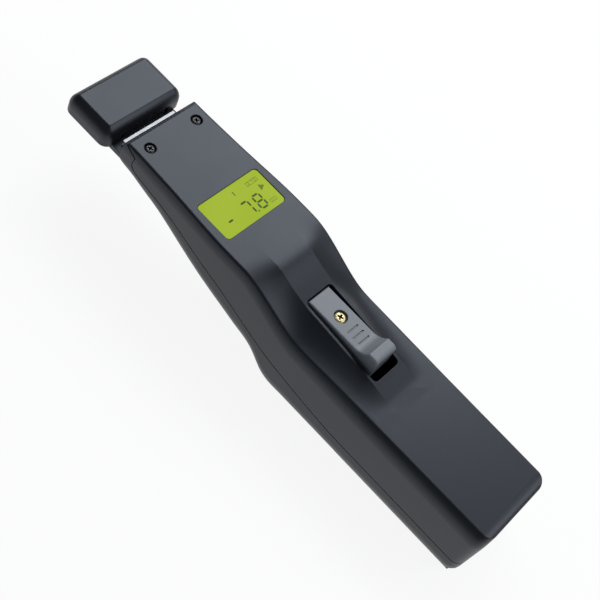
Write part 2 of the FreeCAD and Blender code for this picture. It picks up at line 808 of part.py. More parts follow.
hook_groove = hook_track("hook_groove_right", "door_gap", f"(-{BEYOND})", f"{DOOR_FRONT} + door_gap")
rear_shell = cut(
    "rear_shell", rear_solid, neck_wedge, jaw_opening, bush_hole,
    back_sink, mirrored("back_sink_left", back_sink),
    back_pass, doc.getObject("back_pass_left"), neck_pass, doc.getObject("neck_pass_left"),
    head_sink, mirrored("head_sink_left", head_sink), head_pass, mirrored("head_pass_left", head_pass),
    door_space("door_opening", "door_gap"), hook_groove, mirrored("hook_groove_left", hook_groove))


# Battery door with its hooked rails, thumb grooves and foam pad

door_pan = common("door_pan", hollow, door_space("door_region", "0"))
hook = hook_track("hook_right", "0", f"{TAIL_END} + wall", DOOR_FRONT)
thumb_grooves = []
for i in range(3):
    middle = f"({DOOR_FRONT} - pad_width / 2 - thumb_groove_pitch * {i})"
    thumb_grooves.append(box(
        f"thumb_groove_{i + 1}",
        ("-thumb_groove_width / 2", f"{middle} - thumb_groove_slit / 2", "-wall"),
        ("thumb_groove_width / 2", f"{middle} + thumb_groove_slit / 2", "thumb_groove_depth")))
battery_door = cut(
    "battery_door", fuse("door_solid", door_pan, hook, mirrored("hook_left", hook)), *thumb_grooves)
PAD_MIDDLE = f"({BATTERY_REAR} + battery_length / 2)"
battery_pad = box(
    "battery_pad", ("-pad_width / 2", f"{PAD_MIDDLE} - pad_length / 2", "wall"),
    ("pad_width / 2", f"{PAD_MIDDLE} + pad_length / 2", "wall + pad_thick"))


# Battery and its snap-on clip

battery_block = box(
    "battery_block", ("-battery_width / 2", BATTERY_REAR, "battery_rise"),
    ("battery_width / 2", BATTERY_FRONT, "battery_rise + battery_height"))
battery_case = rounded(
    "battery_case", battery_block, "battery_round",
    lambda edge: abs(edge.tangentAt(edge.FirstParameter).y) > 0.9)
terminal = rod(
    "terminal_right", "y", ("terminal_spacing / 2", BATTERY_FRONT, "battery_rise + battery_height / 2"),
    "terminal_radius", "terminal_height")
battery = fuse("battery", battery_case, terminal, mirrored("terminal_left", terminal))
CLIP_REAR = f"({BATTERY_FRONT} + terminal_height + fit_gap)"
CLIP_MIDDLE = "(battery_rise + battery_height / 2)"
battery_clip = box(
    "battery_clip", ("-clip_width / 2", CLIP_REAR, f"{CLIP_MIDDLE} - clip_height / 2"),
    ("clip_width / 2", f"{CLIP_REAR} + clip_thick", f"{CLIP_MIDDLE} + clip_height / 2"))


# Thumb slide: button with a finger lip, its screw, and the carriage under the slot

button_blank = padded(
    "button_blank", "YZ_Plane",
    [
        (SLIDE_REAR, "carriage_top"), (SLIDE_FRONT, "carriage_top"), (SLIDE_FRONT, "slide_top"),
        (f"{SLIDE_FRONT} - slide_flat", "slide_top", "-lip_radius"),
        (f"{SLIDE_REAR} + lip_length", "lip_top"),
        (f"{SLIDE_REAR} + lip_length / 3", "lip_top", "lip_length / 2"),
        (SLIDE_REAR, "lip_top - lip_length / 3"),
    ],
    "slide_width", both_ways=True)


def button_edge(edge):
    """The long upper edges of the button, and its front and lip edges."""
    return min(vertex.Point.z for vertex in edge.Vertexes) > mm("slide_top") - 0.01


button_soft = rounded("button_soft", button_blank, "slide_edge", button_edge)
SLIDE_SCREW_Y = f"({SLIDE_FRONT} - slide_screw_setback)"
SLIDE_SEAT = "(slide_top - slide_screw_sink - screw_head_thick)"
slits = []
for i in range(3):
    middle = f"({SLIDE_FRONT} - grip_setback - grip_pitch * {i})"
    slits.append(box(
        f"grip_slit_{i + 1}", ("-grip_width / 2", f"{middle} - grip_slit / 2", "slide_top - grip_groove"),
        ("grip_width / 2", f"{middle} + grip_slit / 2", "lip_top")))
slide_sink = rod(
    "slide_sink", "z", ("0", SLIDE_SCREW_Y, SLIDE_SEAT), "slide_screw_head / 2 + counterbore_gap", "lip_top")
slide_pass = rod(
    "slide_pass", "z", ("0", SLIDE_SCREW_Y, "0"), "slide_screw_shank / 2 + screw_gap", "lip_top")
slide_button = cut("slide_button", button_soft, slide_sink, slide_pass, *slits)
slide_screw = turned(
    "slide_screw",
    screw_profile("slide_screw_head", "screw_head_thick", "slide_screw_shank", "slide_screw_length"),
    ("0", SLIDE_SCREW_Y, SLIDE_SEAT))
ARM_FRONT = f"({SLIDE_FRONT} + arm_lead)"
carriage_plate = box(
    "carriage_plate", ("-carriage_width / 2", SLIDE_REAR, "carriage_top - carriage_thick"),
    ("carriage_width / 2", ARM_FRONT, "carriage_top"))
carriage_arm = box(
    "carriage_arm", ("-arm_width / 2", f"{ARM_FRONT} - carriage_arm", "carriage_top - carriage_thick"),
    ("arm_width / 2", ARM_FRONT, "rod_height + rod_radius * 1.4"))
ROD_START = f"({ARM_FRONT} - rod_seat)"
arm_bore = rod("arm_bore", "y", ("0", ROD_START, "rod_height"), "rod_radius + fit_gap", "rod_seat * 2")
slide_carriage = cut(
    "slide_carriage", fuse("carriage_blank", carriage_plate, carriage_arm), arm_bore, slide_pass)


# Push rod, its bush, the return spring and the clamp jaw

ROD_LENGTH = f"({JAW_REAR} + rod_seat - {ROD_START})"
push_rod = turned(
    "push_rod",
    [
        ("0", "0"), ("rod_radius", "0"), ("rod_radius", f"{COLLAR} - {ROD_START}"),
        ("collar_radius", f"{COLLAR} - {ROD_START}"),
        ("collar_radius", f"{COLLAR} - {ROD_START} + collar_thick"),
        ("rod_radius", f"{COLLAR} - {ROD_START} + collar_thick"), ("rod_radius", ROD_LENGTH), ("0", ROD_LENGTH),
    ],
    ("0", f"{ROD_START} + fit_gap / 2", "rod_height"), "y")
rod_bush = turned(
    "rod_bush",
    [
        ("rod_radius + running_gap", "-bulkhead_thick"), ("bush_radius", "-bulkhead_thick"),
        ("bush_radius", "0"), ("bush_flange", "0"), ("bush_flange", "bush_rim"),
        ("rod_radius + running_gap", "bush_rim"),
    ],
    ("0", BULKHEAD, "rod_height"), "y")
SPRING_START = f"({BUSH_FACE} + spring_wire + fit_gap)"
spring_line = doc.addObject("Part::Helix", "spring_line")
spring_line.Placement = FreeCAD.Placement(Vector(), TURNS["y"])
bind(
    spring_line, Radius="spring_radius", Height="spring_length - spring_wire * 2 - fit_gap * 2",
    Pitch="(spring_length - spring_wire * 2 - fit_gap * 2) / spring_turns",
    Placement__Base__y=SPRING_START, Placement__Base__z="rod_height")
spring_round = doc.addObject("Part::RegularPolygon", "spring_round")
spring_round.Polygon = 6
bind(
    spring_round, Circumradius="spring_wire", Placement__Base__x="spring_radius",
    Placement__Base__y=SPRING_START, Placement__Base__z="rod_height")
doc.recompute()
return_spring = doc.addObject("Part::Sweep", "return_spring")
return_spring.Sections = [spring_round]
return_spring.Spine = (spring_line, [f"Edge{i}" for i in range(1, len(spring_line.Shape.Edges) + 1)])
return_spring.Solid = True
return_spring.Frenet = True
JAW_STEP = f"({JAW_FRONT} - jaw_bar)"
jaw_plate = padded(
    "jaw_plate", "XY_Plane",
    [
        ("-stem_width / 2", JAW_REAR), ("stem_width / 2", JAW_REAR), ("stem_width / 2", JAW_STEP),
        ("jaw_width / 2", JAW_STEP), ("jaw_width / 2", JAW_FRONT), ("-jaw_width / 2", JAW_FRONT),
        ("-jaw_width / 2", JAW_STEP), ("-stem_width / 2", JAW_STEP),
    ],
    "jaw_thick", "jaw_top - jaw_thick")
jaw_heel = box(
    "jaw_heel", ("-stem_width / 2", JAW_REAR, "jaw_heel_bottom"),
    ("stem_width / 2", f"{JAW_REAR} + jaw_heel_length", "jaw_top"))
jaw_bore = rod(
    "jaw_bore", "y", ("0", f"{JAW_REAR} - rod_seat", "rod_height"), "rod_radius + fit_gap",
    "rod_seat * 2 + fit_gap")
jaw_nest = rod(
    "jaw_nest", "x", ("-jaw_width", JAW_FRONT, "jaw_top - jaw_thick / 2"), "jaw_groove", "jaw_width * 2")
clamp_jaw = cut("clamp_jaw", fuse("jaw_blank", jaw_plate, jaw_heel), jaw_bore, jaw_nest)


# Head: cap over the detectors, window strip, detectors and their board

cap_blank = padded(
    "cap_blank", "XY_Plane", oblong("head_width / 2", HEAD_BACK, HEAD_END, "head_round"),
    f"head_top + head_crease - {SLOT_FLOOR}", SLOT_FLOOR)
cap_round = rounded(
    "cap_round", cap_blank, "head_edge",
    lambda edge: min(vertex.Point.z for vertex in edge.Vertexes) > mm("head_top"))
cap_soft = cut("cap_soft", cap_round, box(
    "cap_crown", ("-head_width", NECK, "head_top"), ("head_width", f"{HEAD_END} + wall", "face_top * 2")))
cap_cavity = box(
    "cap_cavity", ("-head_width / 2 + head_wall", f"{HEAD_BACK} + head_wall", f"{SLOT_FLOOR} - wall"),
    ("head_width / 2 - head_wall", f"{HEAD_END} - head_wall", "head_top - head_wall"))
cap_boss = rod(
    "cap_boss_right", "z", ("head_screw_spacing / 2", HEAD_SCREW_Y, SLOT_FLOOR), "boss_radius",
    f"head_top - head_wall / 2 - {SLOT_FLOOR}")
STRIP_LOW = f"({SLOT_FLOOR} + window_strip_rise)"
strip_opening = box(
    "strip_opening", ("-window_strip_width / 2 - fit_gap", f"{HEAD_BACK} - wall", f"{STRIP_LOW} - fit_gap"),
    (
        "window_strip_width / 2 + fit_gap", f"{HEAD_BACK} + head_wall + wall",
        f"{STRIP_LOW} + window_strip_height + fit_gap"))
head_cap = cut(
    "head_cap",
    fuse("cap_solid", cut("cap_hollow", cap_soft, cap_cavity), cap_boss, mirrored("cap_boss_left", cap_boss)),
    strip_opening, head_pass, doc.getObject("head_pass_left"))
detector_window = box(
    "detector_window", ("-window_strip_width / 2", f"{HEAD_BACK} + fit_gap * 2", STRIP_LOW),
    (
        "window_strip_width / 2", f"{HEAD_BACK} + fit_gap * 2 + window_strip_thick",
        f"{STRIP_LOW} + window_strip_height"))
DETECTOR_Y = f"({HEAD_BACK} + head_wall + fit_gap)"
detector = box(
    "detector_right", ("detector_spacing / 2 - detector_size / 2", DETECTOR_Y, STRIP_LOW),
    (
        "detector_spacing / 2 + detector_size / 2", f"{DETECTOR_Y} + detector_size * 0.8",
        f"{STRIP_LOW} + detector_size"))
detectors = pair("detectors", detector)
SENSOR_BOARD = f"({DETECTOR_Y} + detector_size * 0.8 + fit_gap)"
detector_board = box(
    "detector_board", ("-sensor_board_width / 2", SENSOR_BOARD, f"{SLOT_FLOOR} + fit_gap"),
    (
        "sensor_board_width / 2", f"{SENSOR_BOARD} + sensor_board_thick",
        f"{SLOT_FLOOR} + fit_gap + sensor_board_height"))


# Display stack and main board

LENS_LOW = "(face_top - lens_recess - lens_thick)"
lcd_lens = padded(
    "lcd_lens", "XY_Plane",
    oblong(
        "lcd_width / 2 - fit_gap", f"{LCD_Y} - lcd_height / 2 + fit_gap", f"{LCD_Y} + lcd_height / 2 - fit_gap",
        "lcd_radius"),
    "lens_thick", LENS_LOW)
lcd_glass = box(
    "lcd_glass", ("-glass_width / 2", f"{LCD_Y} - glass_height / 2", f"{GLASS_TOP} - glass_thick"),
    ("glass_width / 2", f"{LCD_Y} + glass_height / 2", GLASS_TOP))
lcd_backlight = box(
    "lcd_backlight", ("-backlight_width / 2", f"{LCD_Y} - backlight_height / 2", BOARD_TOP),
    ("backlight_width / 2", f"{LCD_Y} + backlight_height / 2", f"{BOARD_TOP} + backlight_thick"))
STRIP_INNER = "(backlight_height / 2 + fit_gap * 4)"
contacts_front = box(
    "contacts_front", ("-backlight_width / 2", f"{LCD_Y} + {STRIP_INNER}", BOARD_TOP),
    ("backlight_width / 2", f"{LCD_Y} + {STRIP_INNER} + strip_width", f"{BOARD_TOP} + backlight_thick"))
contacts_rear = box(
    "contacts_rear", ("-backlight_width / 2", f"{LCD_Y} - {STRIP_INNER} - strip_width", BOARD_TOP),
    ("backlight_width / 2", f"{LCD_Y} - {STRIP_INNER}", f"{BOARD_TOP} + backlight_thick"))
contact_strips = doc.addObject("Part::Compound", "contact_strips")
contact_strips.Links = [contacts_front, contacts_rear]
board_blank = box(
    "board_blank", ("-board_width / 2", BOARD_REAR, f"{BOARD_TOP} - board_thick"),
    ("board_width / 2", BOARD_FRONT, BOARD_TOP))
main_board = cut("main_board", board_blank, board_pass, doc.getObject("board_pass_left"))
CHIP_Y = f"({NECK} - chip_setback)"
controller_chip = box(
    "controller_chip", ("-chip_size / 2", f"{CHIP_Y} - chip_size / 2", BOARD_TOP),
    ("chip_size / 2", f"{CHIP_Y} + chip_size / 2", f"{BOARD_TOP} + chip_thick"))
SWITCH_Y = f"({NECK} - switch_setback)"
SWITCH_TOP = f"({BOARD_TOP} - board_thick)"
switch_case = box(
    "switch_case",
    ("switch_offset - switch_width / 2", f"{SWITCH_Y} - switch_length", f"{SWITCH_TOP} - switch_height"),
    ("switch_offset + switch_width / 2", SWITCH_Y, SWITCH_TOP))
switch_plunger = rod(
    "switch_plunger", "y", ("switch_offset", SWITCH_Y, f"{SWITCH_TOP} - switch_height / 2"),
    "switch_button / 2", "switch_button")
trigger_switch = fuse("trigger_switch", switch_case, switch_plunger)


# Screws, each kind as one pair

neck_screw = turned(
    "neck_screw", screw_profile("screw_head", "screw_head_thick", "screw_shank", "neck_screw_length"),
    ("neck_screw_spacing / 2", NECK_SCREW_Y, NECK_SEAT))
neck_screws = pair("neck_screws", neck_screw)
back_screw = turned(
    "back_screw", screw_profile("screw_head", "screw_head_thick", "screw_shank", "back_screw_length"),
    ("back_screw_spacing / 2", BACK_SCREW_Y, "back_screw_sink + screw_head_thick"), "down")
back_screws = pair("back_screws", back_screw)
head_screw = turned(
    "head_screw", screw_profile("screw_head", "screw_head_thick", "screw_shank", "head_screw_length"),
    ("head_screw_spacing / 2", HEAD_SCREW_Y, "neck_bottom + head_screw_sink + screw_head_thick"), "down")
head_screws = pair("head_screws", head_screw)
board_screw = turned(
    "board_screw", screw_profile("screw_head", "screw_head_thick", "screw_shank", "board_screw_length"),
    ("board_screw_spacing / 2", f"{BOARD_REAR} + board_screw_setback", f"{BOARD_TOP} - board_thick"), "down")
board_screws = pair("board_screws", board_screw)


# Checks and files

NODES = [
    front_shell, rear_shell, battery_door, battery_pad, battery, battery_clip, slide_button, slide_screw,
    slide_carriage, push_rod, rod_bush, return_spring, clamp_jaw, head_cap, detector_window, detectors,
    detector_board, lcd_lens, lcd_glass, lcd_backlight, contact_strips, main_board, controller_chip,
    trigger_switch, neck_screws, back_screws, head_screws, board_screws,
]
doc.recompute()
for thing in doc.Objects:
    if "Invalid" in thing.State or "Error" in thing.State:
        raise RuntimeError(f"{thing.Name} did not compute")
os.makedirs("parts", exist_ok=True)
for node in NODES:
    shape = node.Shape
    if shape.isNull() or not shape.isValid() or not shape.Solids:
        raise RuntimeError(f"{node.Label} has no valid solid")
    shape.exportStep(f"parts/{node.Label}.step")
    print(node.Label, len(shape.Solids), round(shape.Volume, 1))
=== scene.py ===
import math

import bmesh
import bpy
from bpy.props import FloatProperty, FloatVectorProperty, PointerProperty
from mathutils import Matrix, Vector


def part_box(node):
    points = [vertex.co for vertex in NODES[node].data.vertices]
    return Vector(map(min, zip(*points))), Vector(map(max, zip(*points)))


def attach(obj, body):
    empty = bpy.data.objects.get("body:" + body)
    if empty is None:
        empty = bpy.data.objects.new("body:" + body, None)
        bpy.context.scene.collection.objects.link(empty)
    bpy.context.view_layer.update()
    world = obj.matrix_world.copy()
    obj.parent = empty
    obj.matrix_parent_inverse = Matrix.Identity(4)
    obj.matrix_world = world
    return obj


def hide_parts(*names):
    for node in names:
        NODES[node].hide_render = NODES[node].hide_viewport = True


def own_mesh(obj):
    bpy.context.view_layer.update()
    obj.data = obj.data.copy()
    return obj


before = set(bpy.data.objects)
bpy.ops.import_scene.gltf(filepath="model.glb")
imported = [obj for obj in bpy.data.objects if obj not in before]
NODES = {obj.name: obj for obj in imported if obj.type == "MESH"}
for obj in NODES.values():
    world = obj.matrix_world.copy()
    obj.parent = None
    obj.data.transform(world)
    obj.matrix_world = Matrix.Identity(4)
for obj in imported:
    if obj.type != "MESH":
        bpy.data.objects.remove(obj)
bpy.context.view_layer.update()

bl_info = {
    "name": "Optical fiber identifier looks",
    "version": (1, 0, 0),
    "blender": (4, 5, 0),
    "location": "View3D > Sidebar > Identifier",
    "description": "Dresses the packed tool with its finishes, display marks, screws and a plain stage",
    "category": "Object",
}

MM = 0.001
# Stretch of a metal's streaks where they have no direction
EVEN = (1.0, 1.0, 1.0)

# The stage, in metres and watts: the floor, its glow around a spot under the part, and two light panels
FLOOR_HALF = 3.0
FLOOR_DROP = 0.2 * MM
GLOW_SPOT = (0.07, 0.01, 0.0)
GLOW_NEAR, GLOW_FAR = 0.21, 0.6
GLOW_BRIGHT, GLOW_DIM = 0.9, 0.5
# Name, place, length, height and power of each panel
PANELS = (
    ("key", (0.46, 0.26, 0.60), 0.75, 0.36, 4.6),
    ("fill", (0.34, -0.50, 0.50), 0.5, 0.4, 2.0),
)

# The camera that was fitted to the photograph's edges, in metres, with its lens in millimetres
CAMERA_PLACE = (-0.22914, -0.06637, 0.36123)
CAMERA_RIGHT = (0.6541, -0.6887, 0.3130)
CAMERA_UP = (0.5113, 0.7074, 0.4881)
SENSOR_WIDTH, LENS_LENGTH = 36.0, 73.9
NEAR_CLIP = 0.01


# Colours and nodes

def tone(code):
    """A sRGB hex colour as linear red, green, blue and alpha."""
    parts = [int(code[i:i + 2], 16) / 255 for i in (1, 3, 5)]
    return [c / 12.92 if c <= 0.04045 else ((c + 0.055) / 1.055) ** 2.4 for c in parts] + [1.0]


def add(tree, kind, inputs=None, **settings):
    """Adds a node with its settings, and sets or links its inputs."""
    node = tree.nodes.new(kind)
    for name, value in settings.items():
        setattr(node, name, value)
    for name, value in (inputs or {}).items():
        if isinstance(value, bpy.types.NodeSocket):
            tree.links.new(value, node.inputs[name])
        else:
            node.inputs[name].default_value = value
    return node


def blank(name):
    """An empty node material with its output."""
    material = bpy.data.materials.new(name)
    material.use_nodes = True
    tree = material.node_tree
    tree.nodes.clear()
    return material, tree, add(tree, "ShaderNodeOutputMaterial")


def shade(tree, output, **inputs):
    """The surface shader, with its inputs named in words."""
    named = {name.replace("_", " ").capitalize(): value for name, value in inputs.items()}
    renames = {"Base color": "Base Color", "Specular level": "Specular IOR Level",
               "Specular tint": "Specular Tint", "Emission color": "Emission Color",
               "Emission strength": "Emission Strength"}
    shader = add(tree, "ShaderNodeBsdfPrincipled", {renames.get(k, k): v for k, v in named.items()})
    tree.links.new(shader.outputs["BSDF"], output.inputs["Surface"])
    return shader


def per_metre(millimetres):
    """The scale of a pattern whose features are this far apart."""
    return 1.0 / (millimetres * MM)


def clouded(tree, place, size_mm, dark, light, detail=4.0):
    """Soft clouds between two near colours."""
    cloud = add(tree, "ShaderNodeTexNoise", {
        "Vector": place, "Scale": per_metre(size_mm), "Detail": detail, "Roughness": 0.6})
    ramp = add(tree, "ShaderNodeValToRGB", {"Fac": cloud.outputs["Fac"]})
    ramp.color_ramp.elements[0].position = 0.35
    ramp.color_ramp.elements[0].color = dark
    ramp.color_ramp.elements[1].position = 0.65
    ramp.color_ramp.elements[1].color = light
    return cloud, ramp


def grained(name, dark, light, roughness, grain_mm, depth_mm, cloud_mm=14.0, spread=0.04, edge_mm=0.25,
            sheen=tone("#ffffff")):
    """A moulded surface: two near colours in clouds, a fine grain, uneven gloss and slightly worn edges."""
    material, tree, output = blank(name)
    place = add(tree, "ShaderNodeTexCoord").outputs["Object"]
    cloud, ramp = clouded(tree, place, cloud_mm, dark, light)
    gloss = add(tree, "ShaderNodeMapRange", {
        "Value": cloud.outputs["Fac"], "From Min": 0.3, "From Max": 0.7,
        "To Min": roughness - spread, "To Max": roughness + spread})
    grain = add(tree, "ShaderNodeTexNoise", {
        "Vector": place, "Scale": per_metre(grain_mm), "Detail": 2.0, "Roughness": 0.5})
    edge = add(tree, "ShaderNodeBevel", {"Radius": edge_mm * MM}, samples=4)
    bump = add(tree, "ShaderNodeBump", {
        "Height": grain.outputs["Fac"], "Distance": depth_mm * MM, "Strength": 1.0,
        "Normal": edge.outputs["Normal"]})
    shade(tree, output, base_color=ramp.outputs["Color"], roughness=gloss.outputs["Result"],
          normal=bump.outputs["Normal"], specular_tint=sheen)
    return material


def metal(name, dark, light, roughness, streak_mm, stretch):
    """A worked metal: streaks along one direction in colour, gloss and height."""
    depth_mm = 0.004
    material, tree, output = blank(name)
    place = add(tree, "ShaderNodeTexCoord")
    lie = add(tree, "ShaderNodeMapping", {"Vector": place.outputs["Object"], "Scale": stretch})
    streak = add(tree, "ShaderNodeTexNoise", {
        "Vector": lie.outputs["Vector"], "Scale": per_metre(streak_mm), "Detail": 3.0, "Roughness": 0.6})
    ramp = add(tree, "ShaderNodeValToRGB", {"Fac": streak.outputs["Fac"]})
    ramp.color_ramp.elements[0].position = 0.3
    ramp.color_ramp.elements[0].color = dark
    ramp.color_ramp.elements[1].position = 0.7
    ramp.color_ramp.elements[1].color = light
    gloss = add(tree, "ShaderNodeMapRange", {
        "Value": streak.outputs["Fac"], "From Min": 0.3, "From Max": 0.7,
        "To Min": roughness - 0.05, "To Max": roughness + 0.08})
    bump = add(tree, "ShaderNodeBump", {
        "Height": streak.outputs["Fac"], "Distance": depth_mm * MM, "Strength": 1.0})
    shade(tree, output, base_color=ramp.outputs["Color"], metallic=1.0, roughness=gloss.outputs["Result"],
          normal=bump.outputs["Normal"])
    return material


class IdentifierLooks(bpy.types.PropertyGroup):
    """Sizes and colours of the looks."""
    housing_dark: FloatVectorProperty(
        name="Housing, dark", description="Darker cloud of the housing's plastic", subtype="COLOR", size=4,
        min=0.0, max=1.0, default=tone("#0e1115"))
    housing_light: FloatVectorProperty(
        name="Housing, light", description="Lighter cloud of the housing's plastic", subtype="COLOR", size=4,
        min=0.0, max=1.0, default=tone("#111419"))
    housing_sheen: FloatVectorProperty(
        name="Housing sheen", description="Cool cast of the housing's highlights", subtype="COLOR", size=4,
        min=0.0, max=1.0, default=tone("#e8f1ff"))
    slide_dark: FloatVectorProperty(
        name="Slide, dark", description="Darker cloud of the slide's plastic", subtype="COLOR", size=4,
        min=0.0, max=1.0, default=tone("#70767d"))
    slide_light: FloatVectorProperty(
        name="Slide, light", description="Lighter cloud of the slide's plastic", subtype="COLOR", size=4,
        min=0.0, max=1.0, default=tone("#787e85"))
    display_ground: FloatVectorProperty(
        name="Display", description="Lit ground of the display", subtype="COLOR", size=4,
        min=0.0, max=1.0, default=tone("#a0b923"))
    display_mark: FloatVectorProperty(
        name="Display marks", description="Switched-on segments", subtype="COLOR", size=4,
        min=0.0, max=1.0, default=tone("#3d4c18"))
    head_width: FloatProperty(
        name="Head width", description="Width of the head cap", default=35.9 * MM, unit="LENGTH")
    head_round: FloatProperty(
        name="Head rounding", description="Radius of the head cap's upper edges", default=5.5 * MM,
        unit="LENGTH")
    head_crease: FloatProperty(
        name="Head crease", description="Height that the flat top takes off the rounding", default=0.6 * MM,
        unit="LENGTH")
    digit_height: FloatProperty(
        name="Digit height", description="Height of the large digits", default=5.4 * MM, unit="LENGTH")
    digit_width: FloatProperty(
        name="Digit width", description="Width of the large digits", default=3.0 * MM, unit="LENGTH")
    stroke: FloatProperty(
        name="Stroke", description="Width of a digit's segments", default=0.72 * MM, unit="LENGTH")
    recess: FloatProperty(
        name="Cross recess", description="Length of a screw's cross recess as a share of its head",
        default=0.68, min=0.2, max=0.9)


def looks():
    """The present sizes and colours."""
    return bpy.context.scene.identifier_looks


def dress(material, *names):
    """Gives a finish to CAD nodes."""
    for name in names:
        mesh = NODES[name].data
        mesh.materials.clear()
        mesh.materials.append(material)


def piece(name, bm, material, body):
    """Makes a mesh piece that rides on a body."""
    mesh = bpy.data.meshes.new(name)
    bm.to_mesh(mesh)
    bm.free()
    mesh.materials.append(material)
    obj = bpy.data.objects.new(name, mesh)
    bpy.context.scene.collection.objects.link(obj)
    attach(obj, body)
    return obj


class IDENTIFIER_OT_housing(bpy.types.Operator):
    """Finishes of the shells, the battery door and the head"""
    bl_idname = "identifier.housing"
    bl_label = "Housing finishes"

    def execute(self, context):
        # Spark-eroded black ABS: a fine even grain that turns highlights into a soft grey veil.
        # The real grain of about 0.15 mm is too fine to show, so it is drawn at 0.5 mm.
        abs_black = grained(
            "black ABS, spark-eroded", looks().housing_dark, looks().housing_light, 0.4, 0.5, 0.006,
            cloud_mm=30.0, spread=0.015, edge_mm=0.4, sheen=looks().housing_sheen)
        dress(abs_black, "front_shell", "rear_shell", "battery_door", "head_cap")
        return {"FINISHED"}


class IDENTIFIER_OT_head(bpy.types.Operator):
    """The head cap with its large soft upper edges"""
    bl_idname = "identifier.head"
    bl_label = "Head cap"

    def execute(self, context):
        node = NODES["head_cap"]
        low, high = [Vector(corner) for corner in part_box("head_cap")]
        size = looks()
        bm = bmesh.new()
        bm.from_mesh(node.data)
        bmesh.ops.remove_doubles(bm, verts=bm.verts, dist=0.001 * MM)
        bmesh.ops.scale(bm, vec=(size.head_width / (high.x - low.x), 1.0, 1.0), verts=bm.verts)
        cap = piece("head_cap_soft", bm, node.data.materials[0], "casing")
        block = self.block(low, high, size)
        rounding = cap.modifiers.new("rounding", "BOOLEAN")
        rounding.operation = "INTERSECT"
        rounding.solver = "EXACT"
        rounding.object = block
        mesh = bpy.data.meshes.new_from_object(cap.evaluated_get(context.evaluated_depsgraph_get()))
        cap.modifiers.clear()
        cap.data = mesh
        bpy.data.objects.remove(block)
        mesh.polygons.foreach_set("use_smooth", [True] * len(mesh.polygons))
        mesh.set_sharp_from_angle(angle=math.radians(12))
        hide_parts("head_cap")
        return {"FINISHED"}

    def block(self, low, high, size):
        """A block with rounded upper edges, a hair smaller all round than the cap that it trims."""
        hair = 0.04 * MM
        corner, least_corner = 3.4 * MM, 0.3 * MM
        below = 1.0 * MM
        steps = 12
        middle = (low + high) / 2
        half = Vector((size.head_width / 2 - hair, (high.y - low.y) / 2 - hair, 0.0))
        top = high.z + size.head_crease
        levels = [(0.0, low.z - below)]
        for k in range(steps + 1):
            angle = math.pi / 2 * k / steps
            levels.append((size.head_round * (1 - math.cos(angle)),
                           top - size.head_round * (1 - math.sin(angle))))
        bm = bmesh.new()
        rings = [self.ring(bm, middle, half.x - inset, half.y - inset, max(corner - inset, least_corner), z)
                 for inset, z in levels]
        for lower, upper in zip(rings, rings[1:]):
            for k in range(len(lower)):
                n = (k + 1) % len(lower)
                bm.faces.new((lower[k], lower[n], upper[n], upper[k]))
        bm.faces.new(rings[-1])
        bm.faces.new(rings[0][::-1])
        mesh = bpy.data.meshes.new("rounding block")
        bm.to_mesh(mesh)
        bm.free()
        block = bpy.data.objects.new("rounding block", mesh)
        bpy.context.scene.collection.objects.link(block)
        return block

    def ring(self, bm, middle, half_x, half_y, corner, z):
        """One rounded rectangle of the block."""
        steps = 6
        points = []
        for quarter in range(4):
            x = (half_x - corner) * (1 if quarter in (0, 3) else -1)
            y = (half_y - corner) * (1 if quarter in (0, 1) else -1)
            for k in range(steps + 1):
                angle = (quarter + k / steps) * math.pi / 2
                points.append(bm.verts.new((
                    middle.x + x + corner * math.cos(angle), middle.y + y + corner * math.sin(angle), z)))
        return points


